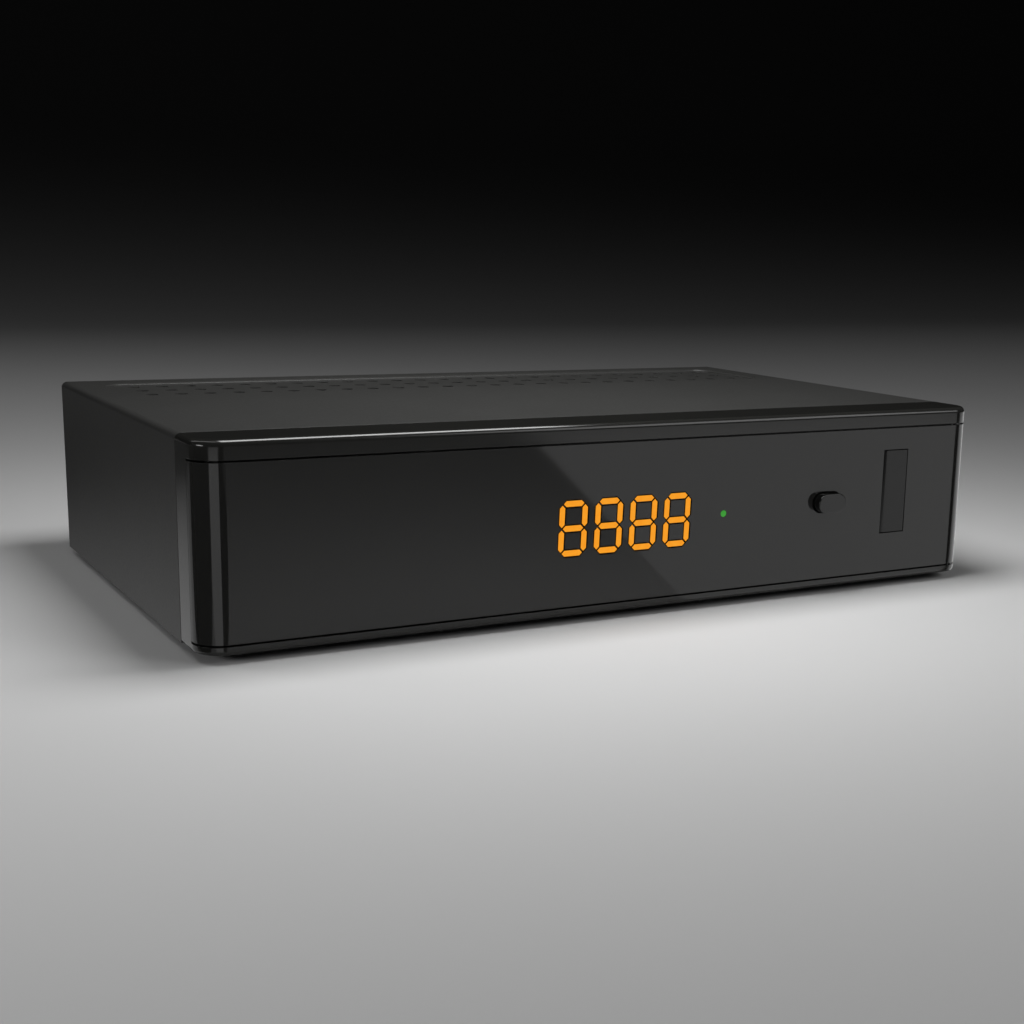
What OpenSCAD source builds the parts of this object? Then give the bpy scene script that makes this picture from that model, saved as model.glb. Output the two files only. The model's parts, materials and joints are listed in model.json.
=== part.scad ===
// Satellite television receiver: a folded steel case with a moulded front, two circuit
// boards and their sockets, a standby button and a hinged cover over the front data port.
// Millimetres, +Z up, front towards -Y. The origin is on the table under the middle of
// the whole outline. Depths below are counted from the front face, heights from the
// underside of the case, and place() moves both into the model's own frame.

/* [Case] */
// Width of the case
case_w = 168; // [166:1:176]
// Depth of the case, from the front face to the rear edge of the cover
case_d = 101; // [100:1:106]
// Height of the case without its feet
case_h = 36; // [35.5:0.5:38]
// Thickness of the steel sheet
sheet_t = 0.8; // [0.6:0.1:1]
// Outer radius of the folds along the cover's long edges
fold_r = 1.2; // [1:0.1:1.6]
// Height of the rubber feet
foot_h = 1.5; // [1:0.5:3]
// Radius of a rubber foot
foot_r = 5.5; // [4:0.5:7]

/* [Vents] */
// Number of vent holes in a row of the cover
vent_count = 25; // [15:1:25]
// Distance between vent holes in a row
vent_pitch = 6; // [5:0.1:6]
// Radius of a vent hole
vent_r = 1.3; // [0.8:0.1:1.5]
// Distance between the rows of vent holes
vent_row_pitch = 7.65; // [6:0.05:8]
// Depth pressed into the cover round the vents
recess_depth = 0.5; // [0.3:0.1:1]

/* [Front] */
// Depth of the moulded front frame
frame_d = 11.5; // [11:0.5:13]
// Radius of the front corners, seen from above
corner_r = 5; // [4.5:0.5:6]
// Radius of the rounded edge along the top of the frame
top_edge_r = 1.1; // [0.5:0.1:1.2]
// Radius of the rounded edge along the bottom of the frame
bottom_edge_r = 0.8; // [0.5:0.1:1]
// Thickness of the glossy front panel
window_t = 2.2; // [2:0.1:2.4]
// Height of the lower groove above the case's underside
groove_low_z = 1.55; // [1.4:0.05:2]
// Height of the upper groove above the case's underside
groove_high_z = 32.3; // [32:0.1:33]
// Width of both grooves
groove_w = 0.35; // [0.25:0.05:0.5]

/* [Display] */
// Height of a digit
digit_h = 10.4; // [9:0.1:11.5]
// Width of a digit without its slant
digit_w = 5.9; // [5:0.1:6.4]
// Distance from digit to digit
digit_pitch = 7.62; // [7.3:0.01:8]
// Width of a lit segment
segment_w = 1.1; // [0.9:0.05:1.4]
// Slant of the digits in degrees
digit_slant = 1.9; // [0:0.1:8]

/* [Standby button] */
// Length of the pill-shaped cap
button_w = 6.9; // [6.5:0.1:8]
// Height of the pill-shaped cap
button_h = 3.9; // [3.5:0.1:4.5]
// How far the cap stands out of the front face
button_proud = 2; // [1:0.1:3]
// How far the cap can be pressed
button_travel = 0.6; // [0.4:0.05:0.6]

/* [Port cover] */
// Width of the hinged cover
flap_w = 6.3; // [6.2:0.05:7]
// Height of the hinged cover
flap_h = 17.3; // [17:0.1:18.5]
// Radius of the knuckle along the hinged edge
knuckle_r = 1; // [0.9:0.05:1]
// Radius of the hinge pins
pin_r = 0.5; // [0.4:0.05:0.5]

/* [Hidden] */
$fn = 64;

// Clearances
eps = 0.01;                    // overlap that joins two shapes of one solid
through = 1;                   // how far a cutter runs past a face
seam = 0.2;                    // gap between the frame and the cover
close_gap = 0.1;               // gap between sheets and mouldings that nearly touch
slip = 0.2;                    // gap between sheets that slide over each other
fit = 0.05;                    // gap round a screw, pin or socket
contact_gap = 0.02;            // gap round a contact in its plastic

// Case
half_w = case_w / 2;
cover_y = frame_d + seam;
inner_half_w = half_w - sheet_t;
tray_half_w = inner_half_w - slip;
flange_h = 7;
tray_wall_h = 13;
panel_y = case_d - 2 * sheet_t - close_gap;
panel_back_y = panel_y + sheet_t;
floor_y = cover_y + slip;
tray_wall_inset = 2;
tray_front_walls = [[-70, -16], [16, 52]];
tray_front_h = 9;
tray_slot_rows = [34, 74];
tray_slot_n = 12;
tray_slot_pitch = 8;
tray_slot_len = 20;
tray_slot_w = 3;
tab_x = half_w - 9;
tab_half_w = 4;
tab_h = 10;
tab_y = panel_y - sheet_t - close_gap;
foot_x = half_w - 14;
foot_rows = [22, case_d - 12];
foot_taper = 0.5;
foot_taper_share = 0.4;

// Screws
screw_r = 1.25;
screw_hole_r = 1.65;
case_screw_len = 5;
head_r = 2.8;
head_h = 1.6;
head_flat_share = 0.6;         // straight share of a head's height
head_top_share = 0.72;         // radius of a head's top, as a share of its radius
cross_depth_share = 0.55;      // depth of the cross recess, as a share of the head
cross_w_share = 0.24;          // width of a recess arm, as a share of the head's radius
cover_screw_x = half_w - 8;
cover_screw_z = case_h - 4;
panel_screw_x = half_w - 7;
panel_screw_z = 4.5;

// Vent recess in the cover
recess_front_y = 68;
recess_back_y = case_d - 6.5;
recess_half_w = half_w - 7;
recess_r = 5;
vent_row_y = 75.2;
vent_rows = 3;
vent_mid_x = 0.6;

// Front frame and panel
window_low_z = groove_low_z + groove_w;
window_high_z = groove_high_z;
lip_z = groove_high_z + groove_w;
window_wrap = corner_r + 0.2;
seat_w = 2;
seat_depth = 7;
seat_low_z = 4.6;
seat_high_z = 29.6;
seat_half_w = half_w - 8;
frame_top_t = 2;
hook_x = 40;
hook_half_w = 4;
hook_root_y = 10.4;            // just behind the front board
hook_end_y = 15;
hook_t = 1.5;
hook_low_z = 2.3;
hook_tip = 1.8;
hook_tip_h = 1.1;
hook_slot_half_w = hook_half_w + 0.5;
hook_slot_z = [2, 5.2];
tongue_x = 60;
tongue_w = 12;
tongue_root_y = 9;
tongue_end_y = 16;
tongue_t = 0.8;
boss_skin = 1.4;               // frame left between a pilot hole and the panel

// Display, light and button places on the front face
first_digit_x = -14.47;
digit_mid_z = 16.75;
segment_gap = 0.5;
segment_rim = 0.28;            // dark rim of the pocket round the lit segments
segment_sunk = 0.04;
segment_depth = 0.6;
led_x = 19.3;
led_z = 17.2;
led_r = 0.65;
button_x = 45;
button_z = 17.8;
button_gap = 0.25;
button_flange_t = 0.8;
button_flange_rim = 1.2;
button_stem_r = 1.4;
plunger_travel = 0.25;

// Port cover
flap_left_x = 59.55;
flap_mid_z = 19;
flap_gap = 0.2;                // at the top, right and bottom
flap_hinge_gap = 0.08;         // along the hinged edge
flap_t = 1.6;
hinge_x = flap_left_x + knuckle_r;
hinge_y = knuckle_r;
pin_len = 1.2;
rib_t = 0.8;
rib_h = 0.4;
rib_inset = 1;
rib_start = 1.4;               // from the hinge, clear of the knuckle
rib_end_inset = 0.6;

// Front board
front_board_y = 9;
front_board_t = 1.2;
front_board_x0 = -24;
front_board_x1 = 54;
front_board_z0 = 3.4;
front_board_z1 = 31.6;
front_screws = [[-20, 5.2], [50, 5.2], [-20, 29.6], [50, 29.6]];
boss_r = 2.3;
pilot_r = 0.9;
front_screw_r = 0.85;
front_head_r = 2;
front_head_h = 1.2;
module_w = 30.4;
module_h = 14;
module_y = window_t + close_gap;
front_hole_r = 1.2;
front_screw_len = 5.4;
light_pipe_end_y = 4.8;
led_y = 5;
led_lens_r = 1.5;
led_rim_y = 8.2;
led_rim_r = 1.9;
sensor_x = 30;
sensor_z = 24;
sensor_y = 6;
sensor_w = 5;
sensor_h = 6.8;
sensor_lens_y = 4.2;
sensor_lens_r = 2;
sensor_lens_dz = 0.8;
tact_size = 6;
tact_t = 3.5;
tact_y = front_board_y - tact_t;
plunger_r = 1.7;
plunger_proud = 1.2;
plunger_sunk = 1;
plunger_y = tact_y - plunger_proud;

// Main board
board_z = 6;
board_t = 1.6;
board_top = board_z + board_t;
board_half_w = half_w - 8;
board_front_y = 14;
board_back_y = panel_y - 1.5;
board_tongue_x = [56, 71];
board_tongue_y = 5;
board_hole_r = 1.5;
standoff_floor = 0.6;
board_screw_len = board_t + 4;
standoffs = [[-72, 22], [72, 22], [-52, case_d - 9], [44, case_d - 9]];
standoff_r = 2.7;
board_head_r = 2.7;
board_head_h = 1.7;

// Pin header between the boards
header_pins_n = 8;
header_pitch = 2.54;
header_z = board_top + header_pitch / 2;
header_y = 16.2;
header_block_front = 3.4;
header_block_back = 0.9;
header_pin_over = 0.8;
header_pin_w = 0.6;
header_hole_r = 0.5;

// Front data port
port_x = flap_left_x + flap_w / 2;
port_z = flap_mid_z;
port_w = 5.7;
port_h = 13.1;
port_y = 2.7;
port_len = 14;
port_wall = 0.3;
port_tongue_t = 1.84;
port_tongue_h = 11.1;
port_tongue_dx = -0.7;
port_tongue_start = 0.8;
port_back_y = 11;
port_stand_start = 2.6;
port_stand_t = 0.6;
port_contact_n = 4;
port_contact_pitch = 2.5;
port_contact_start = 2;
port_contact_w = 1;
port_contact_t = 0.2;

// Sockets on the rear, from right to left as seen from the front
lnb_x = 64;
lnb_z = 16;
lnb_r = 4.72;                  // free thread, at its outer radius
lnb_grip_r = 4.46;             // thread under the nut, at its pitch radius
lnb_block_half_w = 6.5;
lnb_block_top = 6;
lnb_bore_y = 3;                // bore's start behind the tuner
lnb_contact_wall = 0.35;
lnb_washer_rim = 0.9;
lnb_end_y = case_d + 10;
lnb_mouth_r = 3.4;
lnb_contact_r = 0.9;
lnb_nut_w = 11;
lnb_nut_t = 2.4;
washer_t = 0.6;
lnb_nut_end_y = panel_back_y + washer_t + lnb_nut_t;

tuner_x0 = 50;
tuner_x1 = 75;
tuner_y1 = case_d - 13;
tuner_y0 = tuner_y1 - 28;
tuner_h = 8;
tuner_wall = 0.4;

picture_x = 30;
picture_z = board_top + 3.3;
picture_w = 15;
picture_h = 6;
picture_len = 11.5;
picture_wall = 0.35;
picture_face_y = panel_back_y + 0.5;
picture_back_y = picture_face_y - picture_len;
picture_chamfer = 1.9;
picture_tongue_half_w = 6;
picture_tongue_y = [panel_back_y - 8, panel_back_y - 0.6];
picture_tongue_z = [-0.2, 1];
picture_leg_x = 5;
picture_leg_half_w = 1;
picture_leg_d = 2;
picture_contact_n = 10;
picture_contact_pitch = 1.1;
picture_contact_w = 0.4;
picture_contact_t = 0.15;
picture_contact_y = [panel_back_y - 7.9, panel_back_y - 1.2];

scart_x = -2;
scart_w = 46.6;
scart_h = 20.6;
scart_z = board_top + scart_h / 2;
scart_y = case_d - 17;
scart_face_y = panel_back_y + 1.4;
scart_groove_depth = 9;
scart_groove_w = 2;
scart_half_w = 20.6;           // of the groove's outer wall
scart_half_h = 7.4;
scart_slant_w = 4;
scart_slant_h = 4.6;
scart_shield_proud = 0.4;
scart_shield_t = 0.5;
scart_slot_n = 10;
scart_slot_half_w = 0.6;
scart_slot_half_h = 2.1;
scart_slot_depth = 10;
scart_row_z = 2.7;
scart_row_dx = 0.5;
scart_rows_mid_x = -0.3;
scart_contact_half_w = 0.2;
scart_contact_half_h = 1.8;
scart_contact_sunk = 1.2;
scart_slot_pitch = 3.8;

phono_x = -40;
phono_z = board_top + 8;
phono_r = 4.15;
phono_end_y = panel_back_y + 8.6;
phono_root_y = panel_y - 6;
phono_body_half_w = 5;
phono_body_len = 9;
phono_body_top = 5.4;
phono_contact_wall = 0.25;
phono_collar_r = 5.2;
phono_collar_t = 0.8;
phono_wall = 0.6;
phono_hole_r = 1.9;

dc_x = -64;
dc_w = 9;
dc_z = board_top + 6.4;
dc_top = dc_z + 5.5;
dc_face_y = panel_back_y + 0.4;
dc_len = 14;
dc_mouth_r = 3.2;
dc_pin_r = 1;
dc_depth = 9.5;
dc_pin_root = 2;               // length of the pin held in the body
dc_pin_end_y = panel_back_y - 0.6;
dc_slot_d = 0.7;
dc_slot_half_h = 0.9;
dc_slot_end_y = panel_back_y - 3;
dc_spring_half_h = 0.7;

// Parts on the main board: places in width and depth, sizes as width, depth and height
main_chip_at = [0, 55];
main_chip_size = [17, 17, 1.4];
thermal_pad_size = [16, 16, 0.4];
heatsink_size = [24, 24, 8];
heatsink_base_t = 1.6;
heatsink_fin_n = 7;
heatsink_fin_t = 1.2;
memory_chip_at = [28.75, 55];
memory_chip_size = [13.5, 8, 1.1];
flash_chip_at = [-27, 54.6];
flash_chip_size = [6, 5.2, 1.8];
tuner_chip_at = [62.5, tuner_y0 + 11.5];
tuner_chip_size = [7, 7, 0.9];
inductors_at = [[-57, 66], [-45, 66], [-45, 78]];
inductor_size = [6, 6, 3];
regulators_at = [[-57, 57], [-45, 57], [50, 50]];
regulator_size = [5, 4, 1.5];
// each capacitor: place in width and depth, radius, height
capacitors_at = [[-68, 80, 4, 11.5], [-57, 80, 4, 11.5], [-68, 68, 3.15, 11],
                 [-30, 78, 3.15, 11], [40, 78, 2.5, 7], [66, 40, 3.15, 8]];
capacitor_rim = 0.5;
crystal_at = [0, 36];
crystal_len = 11.2;
crystal_w = 4.6;
crystal_h = 3.5;
lid_hole_n = 4;
lid_hole_pitch = 5;
lid_hole_r = 0.9;

// Whole outline: the button's face in front, the threaded socket's end behind
outline_front = -button_proud;
outline_back = lnb_end_y;
mid_y = (outline_front + outline_back) / 2;

// ---------- helpers ----------

// Moves depths and heights as measured on the case into the model's frame
module place() {
    translate([0, -mid_y, foot_h])
        children();
}

// A box from its limits
module block(x, y, z) {
    translate([x[0], y[0], z[0]])
        cube([x[1] - x[0], y[1] - y[0], z[1] - z[0]]);
}

// A cylinder along the depth, from y0 to y1
module rod(x, z, y0, y1, r) {
    translate([x, y0, z])
        rotate([-90, 0, 0])
            cylinder(h = y1 - y0, r = r);
}

// A part on the main board: a box of the given size, its base at height z above the board
module on_board(at, size, z = 0) {
    translate([at[0] - size[0] / 2, at[1] - size[1] / 2, board_top + z])
        cube(size);
}

// Extrudes an outline drawn in width and height along the depth
module deep(y0, y1) {
    translate([0, y1, 0])
        rotate([90, 0, 0])
            linear_extrude(height = y1 - y0)
                children();
}

// A slot with round ends, its long side along the first axis
module slot_outline(length, width) {
    square([length - width, width], center = true);
    for (side = [-1, 1])
        translate([side * (length - width) / 2, 0])
            circle(r = width / 2);
}

// A rectangle with four round corners
module round_box_outline(x, y, r) {
    translate([x[0] + r, y[0]])
        square([x[1] - x[0] - 2 * r, y[1] - y[0]]);
    translate([x[0], y[0] + r])
        square([x[1] - x[0], y[1] - y[0] - 2 * r]);
    for (cx = [x[0] + r, x[1] - r], cy = [y[0] + r, y[1] - r])
        translate([cx, cy])
            circle(r = r);
}

// The front seen from above: straight sides, two round front corners, open to the rear
module front_plan(inset, depth) {
    w = half_w - inset;
    r = corner_r - inset;
    intersection() {
        union() {
            translate([-w + r, inset])
                square([2 * (w - r), depth - inset]);
            translate([-w, inset + r])
                square([2 * w, depth - inset]);
            for (side = [-1, 1])
                translate([side * (w - r), inset + r])
                    circle(r = r);
        }
        translate([-case_w, 0])
            square([2 * case_w, depth]);
    }
}

// A wall of the front plan, open to the rear
module front_wall_plan(inset, t, depth) {
    difference() {
        front_plan(inset, depth);
        front_plan(inset + t, depth + through);
    }
}

// Rounded rim of the front plan: a bead along both sides, the corners and the front
module front_bead(r, depth) {
    translate([-half_w + corner_r, r, 0])
        rotate([0, 90, 0])
            cylinder(h = 2 * (half_w - corner_r), r = r);
    for (side = [-1, 1]) {
        rod(side * (half_w - r), 0, corner_r, depth, r);
        translate([side * (half_w - corner_r), corner_r, 0])
            rotate([0, 0, side > 0 ? -90 : 180])
                rotate_extrude(angle = 90)
                    translate([corner_r - r, 0])
                        circle(r = r);
    }
}

// Cross recess of a screw, cut into a head whose top is at z = 0
module cross_cut(depth, length, width) {
    for (turn = [0, 90])
        rotate([0, 0, turn])
            translate([-length / 2, -width / 2, -depth])
                cube([length, width, depth + through]);
}

// Pan-head screw: the underside of the head is at z = 0 and the shank points down
module screw(shank_r, shank_len, r, h) {
    difference() {
        union() {
            translate([0, 0, -shank_len])
                cylinder(h = shank_len + eps, r = shank_r);
            cylinder(h = h * head_flat_share, r = r);
            translate([0, 0, h * head_flat_share])
                cylinder(h = h * (1 - head_flat_share), r1 = r, r2 = r * head_top_share);
        }
        translate([0, 0, h])
            cross_cut(h * cross_depth_share, r, r * cross_w_share);
    }
}

// Outline of one lit segment: a bar with pointed ends, its long side along the first axis
module segment_outline(length, width, grow) {
    l = length / 2 + grow;
    w = width / 2 + grow;
    tip = w;
    polygon([[-l, 0], [-l + tip, w], [l - tip, w], [l, 0], [l - tip, -w], [-l + tip, -w]]);
}

// The seven segments of one digit, standing on the middle of the digit's height
module digit_outline(grow) {
    side_x = (digit_w - segment_w) / 2;
    bar_z = (digit_h - segment_w) / 2;
    bar_len = digit_w - segment_w - segment_gap;
    post_len = bar_z - segment_gap;
    lean = tan(digit_slant);
    for (row = [-1, 0, 1])
        translate([row * bar_z * lean, row * bar_z])
            segment_outline(bar_len, segment_w, grow);
    for (side = [-1, 1], row = [-0.5, 0.5])
        translate([side * side_x + row * bar_z * lean, row * bar_z])
            rotate(90 - digit_slant)
                segment_outline(post_len, segment_w, grow);
}

// All four digits as an outline in width and height
module digits_outline(grow) {
    for (i = [0:3])
        translate([first_digit_x + i * digit_pitch, digit_mid_z])
            digit_outline(grow);
}

// ---------- steel case ----------

// Section of the cover across the case, from its foot line up
module cover_section(inset, r) {
    w = half_w - inset;
    top = case_h - inset;
    translate([-w, 0])
        square([2 * w, top - r]);
    translate([-w + r, 0])
        square([2 * (w - r), top]);
    for (side = [-1, 1])
        translate([side * (w - r), top - r])
            circle(r = r);
}

module recess_outline(grow) {
    round_box_outline([-recess_half_w - grow, recess_half_w + grow],
                      [recess_front_y - grow, recess_back_y + grow], recess_r + grow);
}

// Folded sheet: top, both sides, a pressed vent field and a short flange behind
module top_cover() place() color("#3b3b3a") {
    difference() {
        union() {
            difference() {
                deep(cover_y, case_d)
                    cover_section(0, fold_r);
                translate([0, -sheet_t, -through])
                    deep(cover_y, case_d)
                        translate([0, through])
                            cover_section(sheet_t, fold_r - sheet_t * 0.6);
                block([-case_w, case_w], [cover_y - through, case_d - sheet_t], [-through, 0]);
                block([-inner_half_w, inner_half_w], [case_d - 2 * sheet_t, case_d + through],
                      [-through, case_h - flange_h]);
            }
            translate([0, 0, case_h - recess_depth - sheet_t])
                linear_extrude(height = recess_depth + sheet_t - eps)
                    recess_outline(sheet_t);
        }
        translate([0, 0, case_h - recess_depth])
            linear_extrude(height = recess_depth + through)
                recess_outline(0);
        for (row = [0:vent_rows - 1], i = [0:vent_count - 1])
            translate([vent_mid_x + (i - (vent_count - 1) / 2) * vent_pitch,
                       vent_row_y + row * vent_row_pitch,
                       case_h - recess_depth - sheet_t - through])
                cylinder(h = sheet_t + 2 * through, r = vent_r);
        for (x = [-cover_screw_x, 0, cover_screw_x])
            rod(x, cover_screw_z, case_d - 2 * sheet_t, case_d + through, screw_hole_r);
    }
}

// Folded tray: floor with slots, side walls, two front walls and two rear tabs
module bottom_chassis() place() color("#8d9092") {
    difference() {
        union() {
            block([-tray_half_w, tray_half_w], [floor_y, panel_back_y], [0, sheet_t]);
            for (side = [-1, 1]) {
                wall_x = side > 0 ? tray_half_w - sheet_t : -tray_half_w;
                block([wall_x, wall_x + sheet_t],
                      [floor_y + tray_wall_inset, panel_y - tray_wall_inset], [0, tray_wall_h]);
                block([side * tab_x - tab_half_w, side * tab_x + tab_half_w],
                      [tab_y, tab_y + sheet_t], [0, tab_h]);
            }
            for (wall = tray_front_walls)
                block(wall, [floor_y, floor_y + sheet_t], [0, tray_front_h]);
        }
        for (side = [-1, 1]) {
            block([side * hook_x - hook_slot_half_w, side * hook_x + hook_slot_half_w],
                  [floor_y - through, floor_y + sheet_t + through], hook_slot_z);
            rod(side * panel_screw_x, panel_screw_z, tab_y - through, tab_y + sheet_t + through,
                screw_r + fit);
        }
        for (row = tray_slot_rows, i = [0:tray_slot_n - 1])
            translate([(i - (tray_slot_n - 1) / 2) * tray_slot_pitch, row, -through])
                linear_extrude(height = sheet_t + 2 * through)
                    rotate(90)
                        slot_outline(tray_slot_len, tray_slot_w);
    }
}

// Flat rear panel with a cut-out for each socket
module rear_panel() place() color("#33383a") {
    difference() {
        block([-tray_half_w + close_gap, tray_half_w - close_gap], [panel_y, panel_back_y],
              [sheet_t + close_gap, case_h - sheet_t - slip]);
        rod(lnb_x, lnb_z, panel_y - through, panel_back_y + through, lnb_r + slip);
        rod(phono_x, phono_z, panel_y - through, panel_back_y + through, phono_r + slip);
        deep(panel_y - through, panel_back_y + through) {
            translate([picture_x, picture_z])
                picture_outline(-slip);
            translate([scart_x, scart_z])
                square([scart_w + 2 * slip, scart_h + 2 * slip], center = true);
            translate([dc_x - dc_w / 2 - slip, board_top - slip])
                square([dc_w + 2 * slip, dc_top - board_top + 2 * slip]);
        }
        for (x = [-cover_screw_x, 0, cover_screw_x])
            rod(x, cover_screw_z, panel_y - through, panel_back_y + through, screw_r + fit);
        for (side = [-1, 1])
            rod(side * panel_screw_x, panel_screw_z, panel_y - through, panel_back_y + through,
                screw_hole_r);
    }
}

// Three screws through the cover's flange and two through the foot of the rear panel
module case_screws() place() color("#2c2c2c") {
    for (x = [-cover_screw_x, 0, cover_screw_x])
        translate([x, case_d, cover_screw_z])
            rotate([-90, 0, 0])
                screw(screw_r, case_screw_len, head_r, head_h);
    for (side = [-1, 1])
        translate([side * panel_screw_x, panel_back_y, panel_screw_z])
            rotate([-90, 0, 0])
                screw(screw_r, case_screw_len, head_r, head_h);
}

// Four stuck-on feet under the tray
module rubber_feet() place() color("#1b1b1b") {
    for (x = [-foot_x, foot_x], y = foot_rows)
        translate([x, y, -foot_h]) {
            cylinder(h = foot_h * foot_taper_share, r1 = foot_r - foot_taper, r2 = foot_r);
            translate([0, 0, foot_h * foot_taper_share - eps])
                cylinder(h = foot_h * (1 - foot_taper_share) + eps, r = foot_r);
        }
}

// ---------- moulded front ----------

// Bottom and top of the frame: full slabs with a rounded outer rim
module frame_slab(low, high, bead_z, r) {
    translate([0, 0, low])
        linear_extrude(height = high - low)
            front_plan(r, frame_d);
    translate([0, 0, bead_z])
        front_bead(r, frame_d);
}

// Frame round the glossy panel, with its seat, screw bosses, hooks and tongues
module front_frame() place() color("#262624") {
    hook_top_z = hook_low_z + hook_t;
    difference() {
        union() {
            // bottom wall and its rounded lower edge
            frame_slab(0, bottom_edge_r, bottom_edge_r, bottom_edge_r);
            translate([0, 0, bottom_edge_r])
                linear_extrude(height = groove_low_z - bottom_edge_r)
                    front_plan(0, frame_d);
            // top wall and its rounded upper edge
            frame_slab(case_h - top_edge_r - eps, case_h, case_h - top_edge_r, top_edge_r);
            translate([0, 0, case_h - frame_top_t])
                linear_extrude(height = frame_top_t - top_edge_r)
                    front_plan(0, frame_d);
            // upper lip
            translate([0, 0, lip_z])
                linear_extrude(height = case_h - frame_top_t - lip_z + eps)
                    front_wall_plan(0, window_t + seat_w, frame_d);
            // seat behind the panel
            difference() {
                translate([0, 0, groove_low_z - eps])
                    linear_extrude(height = lip_z - groove_low_z + 2 * eps)
                        front_wall_plan(window_t, seat_w, seat_depth);
                block([-seat_half_w, seat_half_w], [0, frame_d], [seat_low_z, seat_high_z]);
            }
            // side returns
            for (side = [-1, 1]) {
                x0 = side > 0 ? half_w - window_t - eps : -half_w;
                block([x0, x0 + window_t + eps], [window_wrap + close_gap, frame_d],
                      [groove_low_z - eps, lip_z + eps]);
            }
            // bosses for the front board
            for (p = front_screws)
                rod(p[0], p[1], window_t, front_board_y, boss_r);
            // hooks into the tray and tongues under the cover
            for (side = [-1, 1]) {
                hook_span = [side * hook_x - hook_half_w, side * hook_x + hook_half_w];
                block(hook_span, [hook_root_y, frame_d], [bottom_edge_r, hook_top_z]);
                block(hook_span, [frame_d - eps, hook_end_y], [hook_low_z, hook_top_z]);
                block(hook_span, [hook_end_y - hook_tip, hook_end_y],
                      [hook_top_z - eps, hook_top_z + hook_tip_h]);
            }
            for (x = [-tongue_x, 0, tongue_x])
                block([x - tongue_w / 2, x + tongue_w / 2], [tongue_root_y, tongue_end_y],
                      [case_h - frame_top_t - tongue_t, case_h - sheet_t - slip]);
        }
        for (p = front_screws)
            rod(p[0], p[1], window_t + boss_skin, front_board_y + through, pilot_r);
    }
}

// Glossy smoked panel between the grooves, wrapped round both corners
module front_window() place() color("#1d1d1b") {
    difference() {
        translate([0, 0, window_low_z])
            linear_extrude(height = window_high_z - window_low_z)
                front_wall_plan(0, window_t, window_wrap);
        deep(-through, segment_depth)
            digits_outline(segment_rim);
        rod(led_x, led_z, -through, window_t + through, led_r + fit);
        deep(-through, window_t + through)
            translate([button_x, button_z])
                slot_outline(button_w + 2 * button_gap, button_h + 2 * button_gap);
        block([flap_left_x - flap_hinge_gap, flap_left_x + flap_w + flap_gap],
              [-through, window_t + through],
              [flap_mid_z - flap_h / 2 - flap_gap, flap_mid_z + flap_h / 2 + flap_gap]);
        translate([hinge_x, hinge_y, flap_mid_z - flap_h / 2 - pin_len - close_gap])
            cylinder(h = flap_h + 2 * (pin_len + close_gap), r = pin_r + fit);
    }
}

// Hinged cover over the data port: plate, knuckle along its left edge and two pins
module port_flap() place() color("#1c1c1b") {
    low = flap_mid_z - flap_h / 2;
    high = flap_mid_z + flap_h / 2;
    block([hinge_x, flap_left_x + flap_w], [0, flap_t], [low, high]);
    translate([hinge_x, hinge_y, low])
        cylinder(h = flap_h, r = knuckle_r);
    translate([hinge_x, hinge_y, low - pin_len])
        cylinder(h = flap_h + 2 * pin_len, r = pin_r);
    // stiffening ribs on the inside
    for (z = [low + rib_inset, high - rib_inset - rib_t])
        block([hinge_x + rib_start, flap_left_x + flap_w - rib_end_inset],
              [flap_t - eps, flap_t + rib_h], [z, z + rib_t]);
}

// Pill-shaped cap, its stop flange behind the panel and the stem over the switch
module standby_button() place() color("#191918") {
    flange_y = window_t + fit;
    stem_end = plunger_y - (button_travel - plunger_travel) - contact_gap;
    deep(-button_proud, flange_y + eps)
        translate([button_x, button_z])
            slot_outline(button_w, button_h);
    deep(flange_y, flange_y + button_flange_t)
        translate([button_x, button_z])
            slot_outline(button_w + 2 * button_flange_rim, button_h + 2 * button_flange_rim);
    rod(button_x, button_z, flange_y + button_flange_t - eps, stem_end, button_stem_r);
}

// Plunger of the push switch
module tact_plunger() place() color("#c8c4b8")
    rod(button_x, button_z, plunger_y, tact_y + plunger_sunk, plunger_r);

// Lit segments, set into pockets of the panel so that they end just behind its face
module display_digits() place() color("#f59b1e")
    deep(segment_sunk, segment_depth)
        digits_outline(0);

// Light guide that ends at the front face
module led_light_pipe() place() color("#3fbf3a")
    rod(led_x, led_z, 0, light_pipe_end_y, led_r);

// ---------- front board ----------

module display_module() place() color("#202020") {
    mid_x = first_digit_x + 1.5 * digit_pitch;
    block([mid_x - module_w / 2, mid_x + module_w / 2], [module_y, front_board_y],
          [digit_mid_z - module_h / 2, digit_mid_z + module_h / 2]);
}

module power_led() place() color("#78d070") {
    rod(led_x, led_z, led_y, led_rim_y, led_lens_r);
    rod(led_x, led_z, led_rim_y - eps, front_board_y, led_rim_r);
}

// Remote-control sensor with its round lens, behind the smoked panel
module ir_receiver() place() color("#1a1418") {
    block([sensor_x - sensor_w / 2, sensor_x + sensor_w / 2], [sensor_y, front_board_y],
          [sensor_z - sensor_h / 2, sensor_z + sensor_h / 2]);
    rod(sensor_x, sensor_z + sensor_lens_dz, sensor_lens_y, sensor_y + eps, sensor_lens_r);
}

module tact_switch() place() color("#2a2a2c") {
    difference() {
        block([button_x - tact_size / 2, button_x + tact_size / 2], [tact_y, front_board_y],
              [button_z - tact_size / 2, button_z + tact_size / 2]);
        rod(button_x, button_z, tact_y - through,
            tact_y + plunger_sunk + plunger_travel + close_gap, plunger_r + fit);
    }
}

module front_board() place() color("#2f6b3c") {
    difference() {
        block([front_board_x0, front_board_x1], [front_board_y, front_board_y + front_board_t],
              [front_board_z0, front_board_z1]);
        for (p = front_screws)
            rod(p[0], p[1], front_board_y - through, front_board_y + front_board_t + through,
                front_hole_r);
        for (i = [0:header_pins_n - 1])
            rod(header_x(i), header_z, front_board_y - through, front_board_y + front_board_t + through,
                header_hole_r);
    }
}

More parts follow.
